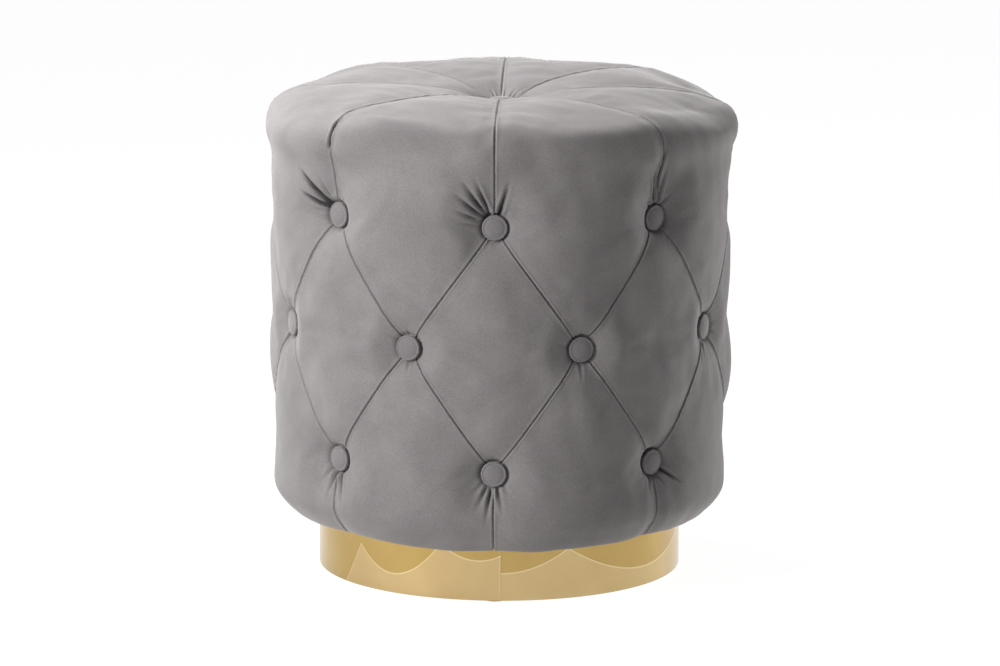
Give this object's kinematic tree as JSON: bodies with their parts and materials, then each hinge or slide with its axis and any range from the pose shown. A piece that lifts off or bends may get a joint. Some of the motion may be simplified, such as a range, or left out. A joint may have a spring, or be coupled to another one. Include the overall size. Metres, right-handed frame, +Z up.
{
  "type": "tufted pouf",
  "caption": "Round button-tufted velvet pouf: sewn panels over foam and a plywood drum, on a short round plinth with a polished gilt metal band.",
  "frame": {"origin": "on the floor, under the centre of the pouf", "axes": "+Z up along the pouf's axis; -Y towards the front, where the band's butt joint is; +X to the right"},
  "size_m": [0.4064, 0.4064, 0.431],
  "materials": {
    "velvet": "short-pile velvet, grey, with a soft sheen",
    "button_velvet": "the same velvet stretched over a button",
    "foam": "open-cell polyurethane foam, matt",
    "plywood": "birch plywood, sanded, unfinished",
    "softwood": "planed pine, unfinished",
    "hardboard": "hardboard, smooth side out",
    "gilt_metal": "polished, gilt",
    "zinc_steel": "bright zinc plating",
    "yellow_zinc": "yellow zinc plating",
    "twine": "waxed polyester twine",
    "black_plastic": "moulded, matt",
    "black_cloth": "spun-bonded cloth, matt"
  },
  "bodies": {
    "root": {"top_panel_1": "velvet", "top_panel_2": "velvet", "top_panel_3": "velvet", "top_panel_4": "velvet", "top_panel_5": "velvet", "top_panel_6": "velvet", "top_panel_7": "velvet", "top_panel_8": "velvet", "diamond_panel_1": "velvet", "diamond_panel_2": "velvet", "diamond_panel_3": "velvet", "diamond_panel_4": "velvet", "diamond_panel_5": "velvet", "diamond_panel_6": "velvet", "diamond_panel_7": "velvet", "diamond_panel_8": "velvet", "lower_panel_1": "velvet", "lower_panel_2": "velvet", "lower_panel_3": "velvet", "lower_panel_4": "velvet", "lower_panel_5": "velvet", "lower_panel_6": "velvet", "lower_panel_7": "velvet", "lower_panel_8": "velvet", "top_button": "button_velvet", "upper_buttons": "button_velvet", "middle_buttons": "button_velvet", "lower_buttons": "button_velvet", "seat_foam": "foam", "side_foam": "foam", "upper_board": "plywood", "lower_board": "plywood", "plinth_board": "plywood", "plinth_ring": "plywood", "upright_1": "softwood", "upright_2": "softwood", "upright_3": "softwood", "upright_4": "softwood", "plinth_blocks": "softwood", "drum_wall": "hardboard", "base_band": "gilt_metal", "band_cleat": "gilt_metal", "button_backs": "zinc_steel", "tee_nuts": "zinc_steel", "plinth_bolts": "zinc_steel", "bolt_washers": "zinc_steel", "frame_screws": "yellow_zinc", "plinth_screws": "yellow_zinc", "top_tie": "twine", "upper_ties": "twine", "middle_ties": "twine", "lower_ties": "twine", "tie_toggles": "black_plastic", "glides": "black_plastic", "dust_cloth": "black_cloth"}
  },
  "joints": []
}
